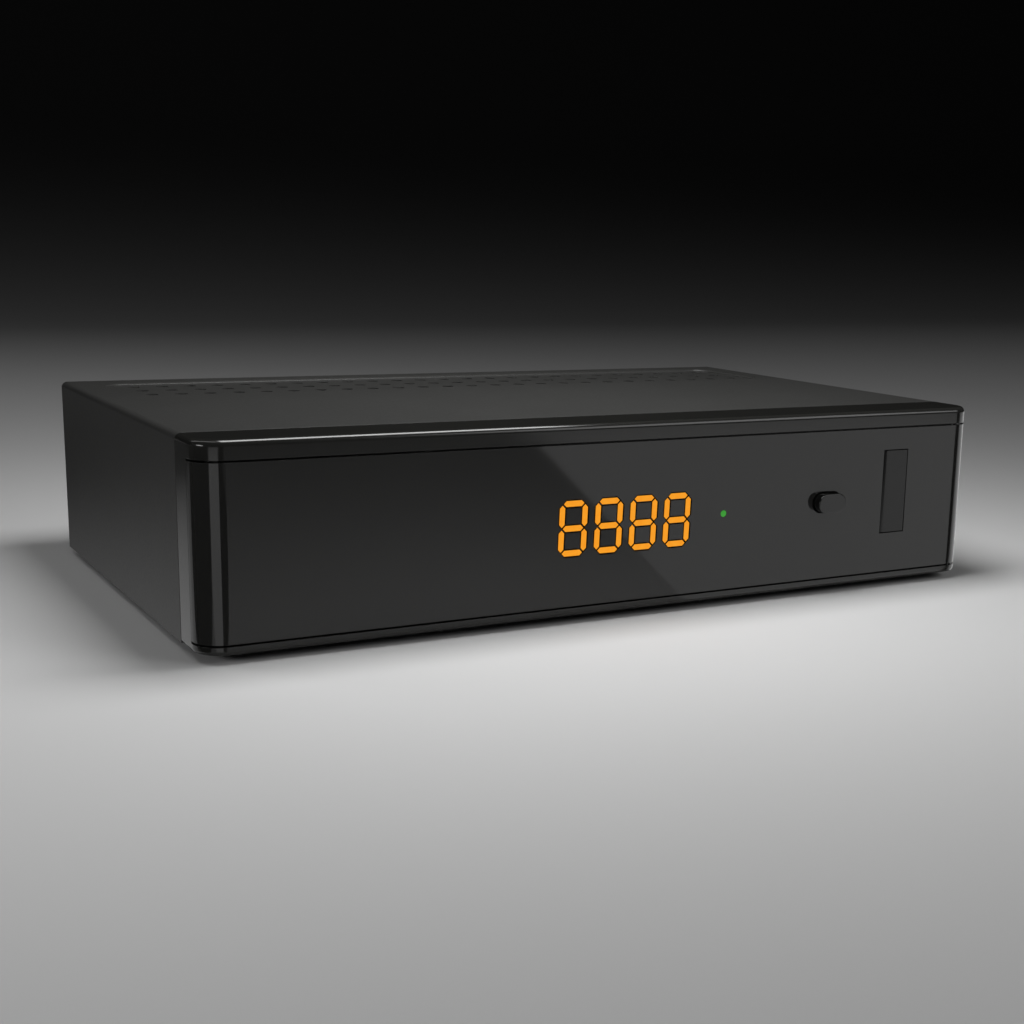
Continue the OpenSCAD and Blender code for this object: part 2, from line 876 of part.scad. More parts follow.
module front_board_screws() place() color("#b9bbbd")
    for (p = front_screws)
        translate([p[0], front_board_y + front_board_t, p[1]])
            rotate([-90, 0, 0])
                screw(front_screw_r, front_screw_len, front_head_r, front_head_h);

// ---------- main board ----------

function header_x(i) = (i - (header_pins_n - 1) / 2) * header_pitch;

module main_board() place() color("#2b6a3a") {
    difference() {
        union() {
            block([-board_half_w, board_half_w], [board_front_y, board_back_y], [board_z, board_top]);
            // tongue under the data port
            block(board_tongue_x, [board_tongue_y, board_front_y + eps], [board_z, board_top]);
        }
        for (p = standoffs)
            translate([p[0], p[1], board_z - through])
                cylinder(h = board_t + 2 * through, r = board_hole_r);
        for (i = [0:header_pins_n - 1])
            translate([header_x(i), header_y, board_z - through])
                cylinder(h = board_t + 2 * through, r = header_hole_r);
    }
}

// Hexagonal pillars riveted into the tray
module board_standoffs() place() color("#c9a24a")
    for (p = standoffs)
        difference() {
            translate([p[0], p[1], sheet_t])
                cylinder(h = board_z - sheet_t, r = standoff_r, $fn = 6);
            translate([p[0], p[1], sheet_t + standoff_floor])
                cylinder(h = board_z, r = screw_r + fit);
        }

module board_screws() place() color("#b9bbbd")
    for (p = standoffs)
        translate([p[0], p[1], board_top])
            screw(screw_r, board_screw_len, board_head_r, board_head_h);

// Plastic strip of the header, with a passage for each pin
module header_block() place() color("#1c1c1c") {
    w = header_pins_n * header_pitch / 2;
    difference() {
        block([-w, w], [header_y - header_block_front, header_y - header_block_back],
              [board_top, board_top + header_pitch]);
        for (i = [0:header_pins_n - 1])
            pin_path(i, header_pin_w / 2 + contact_gap);
    }
}

// Bent pin: forward through the front board and down through the main board
module pin_path(i, r) {
    x = header_x(i);
    block([x - r, x + r], [front_board_y - header_pin_over, header_y + r],
          [header_z - r, header_z + r]);
    block([x - r, x + r], [header_y - r, header_y + r], [board_z - header_pin_over, header_z + r]);
}

module header_pins() place() color("#d6b25e")
    for (i = [0:header_pins_n - 1])
        pin_path(i, header_pin_w / 2);

// ---------- front data port ----------

module port_shell() place() color("#b5b7b9")
    difference() {
        block([port_x - port_w / 2, port_x + port_w / 2], [port_y, port_y + port_len],
              [port_z - port_h / 2, port_z + port_h / 2]);
        block([port_x - port_w / 2 + port_wall, port_x + port_w / 2 - port_wall],
              [port_y - through, port_y + port_len + through],
              [port_z - port_h / 2 + port_wall, port_z + port_h / 2 - port_wall]);
    }

module port_insulator() place() color("#e9e9e6") {
    inner_w = port_w / 2 - port_wall;
    inner_h = port_h / 2 - port_wall;
    tongue_x = port_x + port_tongue_dx;
    back_y = port_y + port_len;
    block([port_x - inner_w, port_x + inner_w], [port_y + port_back_y, back_y],
          [port_z - inner_h, port_z + inner_h]);
    block([tongue_x - port_tongue_t / 2, tongue_x + port_tongue_t / 2],
          [port_y + port_tongue_start, port_y + port_back_y + eps],
          [port_z - port_tongue_h / 2, port_z + port_tongue_h / 2]);
    // stand that lifts the socket above the board
    block([port_x - port_w / 2, port_x + port_w / 2], [port_y + port_stand_start, back_y + port_stand_t],
          [board_top, port_z - port_h / 2]);
    block([port_x - port_w / 2, port_x + port_w / 2], [back_y, back_y + port_stand_t],
          [port_z - port_h / 2 - eps, port_z + port_h / 2]);
}

module port_contacts() place() color("#d9b45a") {
    face_x = port_x + port_tongue_dx + port_tongue_t / 2;
    for (i = [0:port_contact_n - 1]) {
        z = port_z + (i - (port_contact_n - 1) / 2) * port_contact_pitch;
        block([face_x, face_x + port_contact_t], [port_y + port_contact_start, port_y + port_back_y],
              [z - port_contact_w / 2, z + port_contact_w / 2]);
    }
}

// ---------- aerial input ----------

// Four low walls soldered round the tuner
module tuner_fence() place() color("#b9bcbe")
    difference() {
        block([tuner_x0, tuner_x1], [tuner_y0, tuner_y1], [board_top, board_top + tuner_h]);
        block([tuner_x0 + tuner_wall, tuner_x1 - tuner_wall],
              [tuner_y0 + tuner_wall, tuner_y1 - tuner_wall], [board_top - through, case_h]);
    }

// Snap-on lid with a field of small holes
module tuner_lid() place() color("#c3c6c8")
    difference() {
        block([tuner_x0, tuner_x1], [tuner_y0, tuner_y1],
              [board_top + tuner_h, board_top + tuner_h + tuner_wall]);
        for (i = [0:lid_hole_n - 1], j = [0:lid_hole_n - 1])
            translate([(tuner_x0 + tuner_x1) / 2 + (i - (lid_hole_n - 1) / 2) * lid_hole_pitch,
                       (tuner_y0 + tuner_y1) / 2 + (j - (lid_hole_n - 1) / 2) * lid_hole_pitch,
                       board_top + tuner_h - through])
                cylinder(h = tuner_wall + 2 * through, r = lid_hole_r);
    }

module tuner_chip() place() color("#1b1b1d")
    on_board(tuner_chip_at, tuner_chip_size);

// Zinc block on the board and the threaded barrel that comes out of the rear panel
module lnb_barrel() place() color("#c4c1b8")
    difference() {
        union() {
            block([lnb_x - lnb_block_half_w, lnb_x + lnb_block_half_w],
                  [tuner_y1 + 0.6, panel_y], [board_top, lnb_z + lnb_block_top]);
            rod(lnb_x, lnb_z, panel_y - eps, lnb_nut_end_y + eps, lnb_grip_r);
            rod(lnb_x, lnb_z, lnb_nut_end_y, lnb_end_y, lnb_r);
        }
        rod(lnb_x, lnb_z, tuner_y1 + lnb_bore_y, lnb_end_y + through, lnb_mouth_r);
    }

module lnb_insulator() place() color("#e6e4dc")
    difference() {
        rod(lnb_x, lnb_z, tuner_y1 + lnb_bore_y, lnb_end_y - 0.6, lnb_mouth_r);
        rod(lnb_x, lnb_z, tuner_y1, lnb_end_y + through, lnb_contact_r + contact_gap);
    }

module lnb_contact() place() color("#d9b45a")
    difference() {
        rod(lnb_x, lnb_z, tuner_y1 + lnb_bore_y, lnb_end_y - 1.6, lnb_contact_r);
        rod(lnb_x, lnb_z, tuner_y1 + 3 * lnb_bore_y, lnb_end_y + through,
            lnb_contact_r - lnb_contact_wall);
    }

module lnb_washer() place() color("#c9c6bd")
    difference() {
        rod(lnb_x, lnb_z, panel_back_y, panel_back_y + washer_t, lnb_nut_w / 2 + lnb_washer_rim);
        rod(lnb_x, lnb_z, panel_back_y - through, panel_back_y + washer_t + through, lnb_r + fit);
    }

module lnb_nut() place() color("#cfccc3")
    difference() {
        translate([lnb_x, panel_back_y + washer_t, lnb_z])
            rotate([-90, 0, 0])
                cylinder(h = lnb_nut_t, r = lnb_nut_w / 2 / cos(30), $fn = 6);
        rod(lnb_x, lnb_z, panel_back_y, lnb_nut_end_y + through, lnb_grip_r + fit);
    }

// ---------- picture and sound output ----------

// The socket's outline: wide above, drawn in below
module picture_outline(inset) {
    w = picture_w / 2 - inset;
    h = picture_h / 2 - inset;
    c = picture_chamfer;
    polygon([[-w, h], [w, h], [w, -h + c], [w - c, -h], [-w + c, -h], [-w, -h + c]]);
}

module picture_shell() place() color("#b4b6b8")
    translate([picture_x, 0, picture_z])
        difference() {
            deep(picture_back_y, picture_face_y)
                picture_outline(0);
            deep(picture_back_y - through, picture_face_y + through)
                picture_outline(picture_wall);
        }

module picture_insulator() place() color("#151515")
    translate([picture_x, 0, picture_z]) {
        deep(picture_back_y, picture_tongue_y[0])
            picture_outline(picture_wall);
        block([-picture_tongue_half_w, picture_tongue_half_w],
              [picture_tongue_y[0] - eps, picture_tongue_y[1]], picture_tongue_z);
        // crossbar behind the shell and its legs down to the board
        block([-picture_tongue_half_w, picture_tongue_half_w],
              [picture_back_y - picture_leg_d, picture_back_y + eps], [-1, 1]);
        for (side = [-1, 1])
            block([side * picture_leg_x - picture_leg_half_w, side * picture_leg_x + picture_leg_half_w],
                  [picture_back_y - picture_leg_d, picture_back_y], [board_top - picture_z, 1]);
    }

module picture_contacts() place() color("#d9b45a")
    translate([picture_x, 0, picture_z])
        for (i = [0:picture_contact_n - 1])
            translate([(i - (picture_contact_n - 1) / 2) * picture_contact_pitch, 0, 0])
                block([-picture_contact_w / 2, picture_contact_w / 2], picture_contact_y,
                      [picture_tongue_z[1], picture_tongue_z[1] + picture_contact_t]);

// Outline of the groove round the many-way socket's island: one end is slanted
module scart_outline(inset) {
    w = scart_half_w - inset;
    h = scart_half_h - inset;
    polygon([[-w, -h], [w - scart_slant_w, -h], [w, -h + scart_slant_h], [w, h], [-w, h]]);
}

module scart_body() place() color("#1e1e1e")
    translate([scart_x, 0, scart_z])
        difference() {
            block([-scart_w / 2, scart_w / 2], [scart_y, scart_face_y], [-scart_h / 2, scart_h / 2]);
            difference() {
                deep(scart_face_y - scart_groove_depth, scart_face_y + through)
                    scart_outline(0);
                deep(scart_face_y - scart_groove_depth - through, scart_face_y + 2 * through)
                    scart_outline(scart_groove_w);
            }
            at_scart_slots()
                block([-scart_slot_half_w, scart_slot_half_w],
                      [scart_face_y - scart_slot_depth, scart_face_y + through],
                      [-scart_slot_half_h, scart_slot_half_h]);
        }

// Thin steel ring along the groove's outer wall
module scart_shield() place() color("#b9bbbd")
    translate([scart_x, 0, scart_z])
        difference() {
            deep(scart_face_y - scart_groove_depth, scart_face_y + scart_shield_proud)
                scart_outline(contact_gap);
            deep(scart_face_y - scart_groove_depth - through, scart_face_y + through)
                scart_outline(scart_shield_t);
        }

// Two rows of contacts
module at_scart_slots()
    for (row = [-1, 1], i = [0:scart_slot_n - 1])
        if (!(row < 0 && i == scart_slot_n - 1))
            translate([(i - (scart_slot_n - 1) / 2) * scart_slot_pitch + scart_rows_mid_x
                       + row * scart_row_dx, 0, row * scart_row_z])
                children();

module scart_contacts() place() color("#cfa94e")
    translate([scart_x, 0, scart_z])
        at_scart_slots()
            block([-scart_contact_half_w, scart_contact_half_w],
                  [scart_face_y - scart_slot_depth + contact_gap, scart_face_y - scart_contact_sunk],
                  [-scart_contact_half_h, scart_contact_half_h]);

// ---------- digital sound output ----------

module phono_body() place() color("#1d1d1d")
    difference() {
        block([phono_x - phono_body_half_w, phono_x + phono_body_half_w],
              [panel_y - phono_body_len, panel_y], [board_top, phono_z + phono_body_top]);
        rod(phono_x, phono_z, phono_root_y, panel_y + through, phono_r + contact_gap);
    }

module phono_barrel() place() color("#c8c5bc")
    difference() {
        union() {
            rod(phono_x, phono_z, phono_root_y, phono_end_y, phono_r);
            rod(phono_x, phono_z, panel_back_y, panel_back_y + phono_collar_t, phono_collar_r);
        }
        rod(phono_x, phono_z, phono_root_y - through, phono_end_y + through, phono_r - phono_wall);
    }

module phono_ring() place() color("#d07a1c")
    difference() {
        rod(phono_x, phono_z, phono_root_y, phono_end_y - 0.3, phono_r - phono_wall - contact_gap);
        rod(phono_x, phono_z, phono_root_y - through, phono_end_y + through, phono_hole_r);
    }

module phono_contact() place() color("#d9b45a")
    difference() {
        rod(phono_x, phono_z, phono_root_y + 0.2, phono_end_y - 1.4, phono_hole_r - contact_gap);
        rod(phono_x, phono_z, phono_root_y + 1.2, phono_end_y, phono_hole_r - phono_contact_wall);
    }

// ---------- power inlet ----------

module dc_jack_body() place() color("#181818")
    difference() {
        block([dc_x - dc_w / 2, dc_x + dc_w / 2], [dc_face_y - dc_len, dc_face_y],
              [board_top, dc_top]);
        rod(dc_x, dc_z, dc_face_y - dc_depth, dc_face_y + through, dc_mouth_r);
        // slot in the side wall of the bore for the spring contact
        block([dc_x - dc_mouth_r - dc_slot_d, dc_x - dc_mouth_r + dc_slot_d],
              [dc_face_y - dc_depth, dc_slot_end_y], [dc_z - dc_slot_half_h, dc_z + dc_slot_half_h]);
        rod(dc_x, dc_z, dc_face_y - dc_depth - dc_pin_root, panel_back_y, dc_pin_r + contact_gap);
    }

module dc_jack_pin() place() color("#c9c7c0") {
    rod(dc_x, dc_z, dc_face_y - dc_depth - dc_pin_root, dc_pin_end_y, dc_pin_r);
    translate([dc_x, dc_pin_end_y, dc_z])
        sphere(r = dc_pin_r);
}

module dc_jack_spring() place() color("#c9c7c0")
    block([dc_x - dc_mouth_r - dc_slot_d + slip, dc_x - dc_mouth_r - close_gap],
          [dc_face_y - dc_depth + fit, dc_slot_end_y - slip],
          [dc_z - dc_spring_half_h, dc_z + dc_spring_half_h]);

// ---------- parts on the main board ----------

module main_chip() place() color("#1a1a1c")
    on_board(main_chip_at, main_chip_size);

module thermal_pad() place() color("#9fb3c4")
    on_board(main_chip_at, thermal_pad_size, main_chip_size[2]);

// Finned heat sink on the main chip
module heatsink() place() color("#9a9da0") {
    base_z = main_chip_size[2] + thermal_pad_size[2];
    fin_h = heatsink_size[2] - heatsink_base_t;
    fin_step = (heatsink_size[0] - heatsink_fin_t) / (heatsink_fin_n - 1);
    on_board(main_chip_at, [heatsink_size[0], heatsink_size[1], heatsink_base_t], base_z);
    for (i = [0:heatsink_fin_n - 1])
        on_board(main_chip_at + [(i - (heatsink_fin_n - 1) / 2) * fin_step, 0],
                 [heatsink_fin_t, heatsink_size[1], fin_h + eps], base_z + heatsink_base_t - eps);
}

module memory_chip() place() color("#1a1a1c")
    on_board(memory_chip_at, memory_chip_size);

module flash_chip() place() color("#1a1a1c")
    on_board(flash_chip_at, flash_chip_size);

// Round capacitors, tallest by the power inlet
module capacitors() place() color("#3a4250")
    for (c = capacitors_at) {
        translate([c[0], c[1], board_top])
            cylinder(h = c[3] - capacitor_rim, r = c[2]);
        translate([c[0], c[1], board_top + c[3] - capacitor_rim - eps])
            cylinder(h = capacitor_rim, r1 = c[2], r2 = c[2] - capacitor_rim);
    }

module inductors() place() color("#4a4a4c")
    for (at = inductors_at)
        on_board(at, inductor_size);

module regulators() place() color("#1a1a1c")
    for (at = regulators_at)
        on_board(at, regulator_size);

module crystal() place() color("#c2c4c6")
    translate([crystal_at[0], crystal_at[1], board_top])
        linear_extrude(height = crystal_h)
            slot_outline(crystal_len, crystal_w);

top_cover();
bottom_chassis();
rear_panel();
case_screws();
rubber_feet();
front_frame();
front_window();
port_flap();
standby_button();
tact_plunger();
display_digits();
led_light_pipe();
display_module();
power_led();
ir_receiver();
tact_switch();
front_board();
front_board_screws();
main_board();
board_standoffs();
board_screws();
header_block();
header_pins();
port_shell();
port_insulator();
port_contacts();
tuner_fence();
tuner_lid();
tuner_chip();
lnb_barrel();
lnb_insulator();
lnb_contact();
lnb_washer();
lnb_nut();
picture_shell();
picture_insulator();
picture_contacts();
scart_body();
scart_shield();
scart_contacts();
phono_body();
phono_barrel();
phono_ring();
phono_contact();
dc_jack_body();
dc_jack_pin();
dc_jack_spring();
main_chip();
thermal_pad();
heatsink();
memory_chip();
flash_chip();
capacitors();
inductors();
regulators();
crystal();
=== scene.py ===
# %% [markdown]
# # A small satellite receiver, dressed
#
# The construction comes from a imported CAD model, which is loaded as a fixed frame. This lesson
# gives every piece its finish, rounds the edges that a press or a mould would round, cuts the
# thread of the aerial socket, and lights it all in a plain studio.
# Lengths are in metres, as in the frame. Where a size is easier to say in millimetres, it is
# multiplied by MM.

# %% Load the fixed frame
import json
import math

import bmesh
import bpy
from mathutils import Matrix, Vector


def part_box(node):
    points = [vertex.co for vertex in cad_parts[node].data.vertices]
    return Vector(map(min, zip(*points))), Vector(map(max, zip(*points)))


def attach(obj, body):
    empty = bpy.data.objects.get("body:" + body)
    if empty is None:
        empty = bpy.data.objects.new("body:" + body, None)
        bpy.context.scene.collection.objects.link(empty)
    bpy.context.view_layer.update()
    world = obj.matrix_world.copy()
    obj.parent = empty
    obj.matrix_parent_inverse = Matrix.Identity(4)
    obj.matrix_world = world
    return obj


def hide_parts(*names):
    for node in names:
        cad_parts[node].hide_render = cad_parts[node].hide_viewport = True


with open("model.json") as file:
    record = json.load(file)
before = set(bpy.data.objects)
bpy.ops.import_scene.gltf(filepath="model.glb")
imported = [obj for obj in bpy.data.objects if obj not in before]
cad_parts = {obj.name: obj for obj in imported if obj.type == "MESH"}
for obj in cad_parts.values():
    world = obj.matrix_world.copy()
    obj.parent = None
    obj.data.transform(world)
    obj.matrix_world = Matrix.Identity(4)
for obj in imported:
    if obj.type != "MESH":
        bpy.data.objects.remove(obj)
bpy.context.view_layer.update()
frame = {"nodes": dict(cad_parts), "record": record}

MM = 0.001
FRONT_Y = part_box("front_window")[0].y
UNDERSIDE_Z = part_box("bottom_chassis")[0].z
print("nodes:", len(frame["nodes"]), "front face at", round(FRONT_Y / MM, 2), "mm")

# %% [markdown]
# The case is easiest to think of from its front face and its underside. One small function turns
# such a place, in millimetres, into the frame's own coordinates. The alternative, to work every
# place out in the frame's own metres, would hide what each number means.

# %% Places on the case
def on_case(x, y, z):
    """A point from the case's middle, its front face and its underside, given in millimetres."""
    return Vector((x * MM, FRONT_Y + y * MM, UNDERSIDE_Z + z * MM))


print("the front's lower middle is at", on_case(0, 0, 0))

# %% [markdown]
# ## The camera
# A camera is a place, three turns and a focal length. The picture's optical centre isn't in its
# middle, as happens when a picture is cropped, so the lens is shifted a little. Turning the
# camera further would frame the case as well, but the slant of its edges would then differ.

# %% Place the camera
IMAGE_PX = 1024
FOCAL_PX = 1522.4
OPTICAL_CENTRE_PX = (625.8, 568.6)
CAMERA_ON_CASE = (-150.5, -241.0, 69.8)
YAW, PITCH, ROLL = 31.50, 12.31, 1.64
SENSOR = 36

camera_data = bpy.data.cameras.new("camera")
camera_data.sensor_width = SENSOR
camera_data.lens = FOCAL_PX / IMAGE_PX * SENSOR
camera_data.shift_x = (IMAGE_PX / 2 - OPTICAL_CENTRE_PX[0]) / IMAGE_PX
camera_data.shift_y = (OPTICAL_CENTRE_PX[1] - IMAGE_PX / 2) / IMAGE_PX
camera = bpy.data.objects.new("camera", camera_data)
bpy.context.scene.collection.objects.link(camera)
camera.matrix_world = (
    Matrix.Translation(on_case(*CAMERA_ON_CASE))
    @ Matrix.Rotation(math.radians(-YAW), 4, "Z")
    @ Matrix.Rotation(math.radians(90 - PITCH), 4, "X")
    @ Matrix.Rotation(math.radians(ROLL), 4, "Z")
)
bpy.context.scene.camera = camera
print("lens", round(camera_data.lens, 1), "mm")

# %% [markdown]
# ## Sums on shader sockets
# A material is a net of nodes. Writing it as sums is much shorter, so this class wraps a socket
# and adds a Math node for each operator. Colours never go through Math nodes, because those turn
# them grey: they are blended with Mix nodes.

# %% A socket that can be added and multiplied
class Value:
    def __init__(self, paint, socket):
        self.paint = paint
        self.socket = socket

    def __add__(self, other):
        return self.paint.maths("ADD", self, other)

    def __radd__(self, other):
        return self.paint.maths("ADD", other, self)

    def __mul__(self, other):
        return self.paint.maths("MULTIPLY", self, other)

    def __rmul__(self, other):
        return self.paint.maths("MULTIPLY", other, self)


print("sums are ready")

# %% [markdown]
# A Paint is one material. Its method node() makes any node from its type, its settings and the
# values or links of its sockets. All patterns read Object coordinates, which are metres here, so
# a noise of scale 1000 has grains of about a millimetre.

# %% A material under construction
MIX_FACTOR, MIX_FIRST_COLOUR, MIX_SECOND_COLOUR, MIX_COLOUR_OUT = 0, 6, 7, 2


class Paint:
    def __init__(self, name):
        self.material = bpy.data.materials.new(name)
        self.material.use_nodes = True
        self.tree = self.material.node_tree
        self.shader = self.tree.nodes["Principled BSDF"]
        self.place = self.node("ShaderNodeTexCoord", out="Object")

    def plug(self, socket, value):
        if isinstance(value, Value):
            self.tree.links.new(value.socket, socket)
        else:
            socket.default_value = value

    def node(self, kind, settings=None, inputs=None, out=0):
        made = self.tree.nodes.new(kind)
        for key, value in (settings or {}).items():
            setattr(made, key, value)
        for key, value in (inputs or {}).items():
            self.plug(made.inputs[key], value)
        return Value(self, made.outputs[out])

    def maths(self, operation, first, second):
        """One Math node. A comparison gives 1 where it holds, and 0 elsewhere."""
        return self.node("ShaderNodeMath", {"operation": operation}, {0: first, 1: second})

    def noise(self, scale, detail, stretch=(1, 1, 1)):
        place = self.node("ShaderNodeMapping", inputs={"Vector": self.place, "Scale": stretch})
        inputs = {"Vector": place, "Scale": scale, "Detail": detail}
        return self.node("ShaderNodeTexNoise", inputs=inputs)

    def depth(self):
        """How far back a place lies: its Y."""
        return self.node("ShaderNodeSeparateXYZ", inputs={"Vector": self.place}, out="Y")

    def fade(self, start_y, end_y, shape):
        """Goes from 0 at start_y to 1 at end_y, along a straight or a smooth line."""
        inputs = {"Value": self.depth(), "From Min": start_y, "From Max": end_y}
        return self.node("ShaderNodeMapRange", {"interpolation_type": shape}, inputs)

    def mix(self, factor, first, second):
        inputs = {MIX_FACTOR: factor, MIX_FIRST_COLOUR: first, MIX_SECOND_COLOUR: second}
        return self.node("ShaderNodeMix", {"data_type": "RGBA"}, inputs, out=MIX_COLOUR_OUT)

    def bump(self, height, relief, strength):
        """Makes a pattern seem to stand up from the surface. The relief is in millimetres."""
        inputs = {"Height": height, "Distance": relief * MM, "Strength": strength}
        return self.node("ShaderNodeBump", inputs=inputs)

    def finish(self, **sockets):
        for key, value in sockets.items():
            self.plug(self.shader.inputs[key.replace("_", " ")], value)
        return self.material


print("a material can be built")

# %% [markdown]
# Colours are written as a screen shows them, from 0 to 255, because that is how they are read off
# a picture. Shaders count in linear light instead. The screen standard's curve leads from one to
# the other: a power, with a short straight line at the dark end. The numbers are the standard's,
# and those of the straight line are rounded to whole ones.

# %% Colours
SCREEN_WHITE = 255
STRAIGHT_BELOW = 10
STRAIGHT_DIVISOR = 3295


def linear(channel):
    if channel > STRAIGHT_BELOW:
        return ((channel / SCREEN_WHITE + 0.055) / 1.055) ** 2.4
    return channel / STRAIGHT_DIVISOR


def srgb(red, green, blue):
    """A colour as a screen shows it, as the linear numbers that shaders use."""
    return (linear(red), linear(green), linear(blue), 1)


def grey(level):
    """A plain grey of the given linear brightness."""
    return (level, level, level, 1)


print("a middle grey is", round(linear(128), 3))

# %% [markdown]
# ## Finishes
# Each kind of surface has a recipe, and each finish is a row of a table: its two tones and what
# else the recipe needs. A flat colour would look like paper, so every recipe mixes two tones by
# a pattern.

# %% From rows to finishes
finishes = {}


def add_finishes(recipe, rows):
    for name, (dark, light, *rest) in rows.items():
        finishes[name] = recipe(name, srgb(*dark), srgb(*light), *rest)
    print(recipe.__name__, "made", ", ".join(rows))


print("finishes so far:", len(finishes))

# %% [markdown]
# The steel cover is powder-coated: a dull skin with a fine, slightly uneven grain. Real grain
# would take millions of faces, so a shallow bump stands in for it. The rear panel has a coat of
# the same kind, a little rougher. A row gives the two tones, the roughness and the gloss.

# %% Powder-coated and lacquered sheet
def powder_coat(name, dark, light, roughness, gloss):
    paint = Paint(name)
    cloud = paint.noise(scale=60, detail=3)
    grain = paint.noise(scale=2600, detail=2)
    return paint.finish(
        Base_Color=paint.mix(cloud * 0.6 + grain * 0.4, dark, light),
        Roughness=roughness - 0.06 + grain * 0.12,
        Specular_IOR_Level=gloss,
        Normal=paint.bump(grain, relief=0.03, strength=0.35),
    )


add_finishes(powder_coat, {
    "cover_paint": ((46, 46, 45), (57, 57, 56), 0.42, 0.22),
    "panel_paint": ((38, 40, 40), (52, 54, 54), 0.52, 0.3),
})

# %% [markdown]
# The front is moulded plastic. Polished mouldings are never quite even: the gloss wanders a
# little and the skin has long, faint waves. Dull mouldings have a fine spark-eroded grain. A row
# gives the two tones, the roughness and, where they aren't usual, the gloss and the grain's depth.

# %% Moulded plastic
def moulding(name, dark, light, roughness, gloss=0.5, grain_depth=0.01):
    paint = Paint(name)
    cloud = paint.noise(scale=35, detail=2)
    grain = paint.noise(scale=1800, detail=3)
    return paint.finish(
        Base_Color=paint.mix(cloud * 0.8 + grain * 0.2, dark, light),
        Roughness=roughness - 0.02 + cloud * 0.03 + grain * 0.02,
        Specular_IOR_Level=gloss,
        Normal=paint.bump(grain, relief=grain_depth, strength=0.15),
    )


add_finishes(moulding, {
    "frame_plastic": ((29, 29, 28), (36, 36, 34), 0.14, 0.4),
    "window_gloss": ((33, 33, 32), (38, 38, 37), 0.05, 0.4, 0.002),
    "flap_plastic": ((20, 20, 20), (26, 26, 25), 0.08, 0.3, 0.003),
    "button_plastic": ((14, 14, 14), (18, 18, 17), 0.12, 0.42),
    "black_moulding": ((22, 22, 22), (32, 32, 32), 0.42, 0.4, 0.03),
    "white_moulding": ((214, 212, 204), (232, 230, 222), 0.4),
    "phono_orange": ((196, 104, 20), (216, 124, 34), 0.38),
    "plunger_cream": ((206, 200, 186), (222, 217, 204), 0.45),
    "module_resin": ((24, 24, 24), (34, 34, 34), 0.5),
    "chip_resin": ((26, 26, 28), (40, 40, 42), 0.55, 0.4, 0.03),
    "sensor_resin": ((28, 20, 26), (40, 28, 36), 0.12),
    "led_resin": ((120, 200, 120), (150, 220, 150), 0.2),
    "cap_sleeve": ((38, 44, 62), (50, 58, 78), 0.28),
    "pad_silicone": ((130, 150, 168), (150, 170, 188), 0.7, 0.3),
    "foot_rubber": ((20, 20, 20), (34, 34, 33), 0.78, 0.3, 0.06),
    "ferrite": ((44, 44, 46), (70, 70, 72), 0.6, 0.4, 0.05),
})

# %% [markdown]
# Zinc-coated sheet shows a spangle of crystals, each with its own tone and gloss. Cells of a
# Voronoi pattern do this: their random colour drives both. A picture of real sheet could be
# wrapped round the tray instead, but a pattern needs no seams.

# %% Zinc-coated sheet
def spangled_zinc(name, dark, light):
    paint = Paint(name)
    inputs = {"Vector": paint.place, "Scale": 260.0}
    cell = paint.node("ShaderNodeTexVoronoi", inputs=inputs, out="Color")
    tone = paint.node("ShaderNodeSeparateColor", inputs={"Color": cell})
    scratch = paint.noise(scale=900, detail=3, stretch=(1, 6, 1))
    return paint.finish(
        Base_Color=paint.mix(tone * 0.7 + scratch * 0.3, dark, light),
        Metallic=1.0,
        Roughness=0.34 + tone * 0.14 + scratch * 0.06,
        Normal=paint.bump(scratch, relief=0.01, strength=0.2),
    )


add_finishes(spangled_zinc, {"tray_zinc": ((150, 153, 155), (186, 189, 190))})

# %% [markdown]
# Plated, turned and drawn metal has fine marks, which a noise draws. A row gives the two tones,
# the roughness and, where the marks have a direction, how fast the noise changes along X, Y and
# Z. Drawn metal has a small number for the axis that its marks follow. Turned nickel has a large
# one for the axis of turning, so that its marks run round it.

# %% Worked metals
def worked_metal(name, dark, light, roughness, stretch=(1, 1, 1)):
    paint = Paint(name)
    marks = paint.noise(scale=1500, detail=3, stretch=stretch)
    cloud = paint.noise(scale=140, detail=2)
    return paint.finish(
        Base_Color=paint.mix(marks * 0.6 + cloud * 0.4, dark, light),
        Metallic=1.0,
        Roughness=roughness - 0.04 + marks * 0.06 + cloud * 0.05,
        Normal=paint.bump(marks, relief=0.006, strength=0.2),
    )


add_finishes(worked_metal, {
    "tinned_steel": ((176, 178, 180), (202, 204, 205), 0.3, (1, 0.1, 1)),
    "nickel": ((196, 192, 184), (220, 216, 208), 0.2, (1, 4, 1)),
    "gold_contact": ((212, 172, 92), (234, 200, 124), 0.22, (1, 0.1, 1)),
    "screw_zinc": ((178, 178, 176), (206, 206, 203), 0.3),
    "screw_black": ((46, 46, 47), (66, 66, 67), 0.4),
    "sink_aluminium": ((176, 178, 181), (206, 208, 211), 0.34, (1, 0.05, 1)),
    "brass_pillar": ((188, 154, 84), (214, 182, 112), 0.28),
})

# %% [markdown]
# A circuit board is green lacquer over copper. Where copper runs below the lacquer it looks
# lighter and stands up a little, so the edges of a square-cornered cell pattern stand in for it.

# %% Circuit board
TRACK_FROM = 0.42


def board_lacquer(name, bare, over_copper):
    paint = Paint(name)
    settings = {"distance": "MANHATTAN", "feature": "F1"}
    cells = paint.node("ShaderNodeTexVoronoi", settings, {"Vector": paint.place, "Scale": 420.0})
    tracks = paint.maths("GREATER_THAN", cells, TRACK_FROM)
    cloud = paint.noise(scale=90, detail=2)
    return paint.finish(
        Base_Color=paint.mix(tracks * 0.7 + cloud * 0.3, bare, over_copper),
        Roughness=0.24 + cloud * 0.1,
        Normal=paint.bump(tracks, relief=0.03, strength=0.4),
    )


add_finishes(board_lacquer, {"board_green": ((24, 74, 44), (44, 108, 66))})

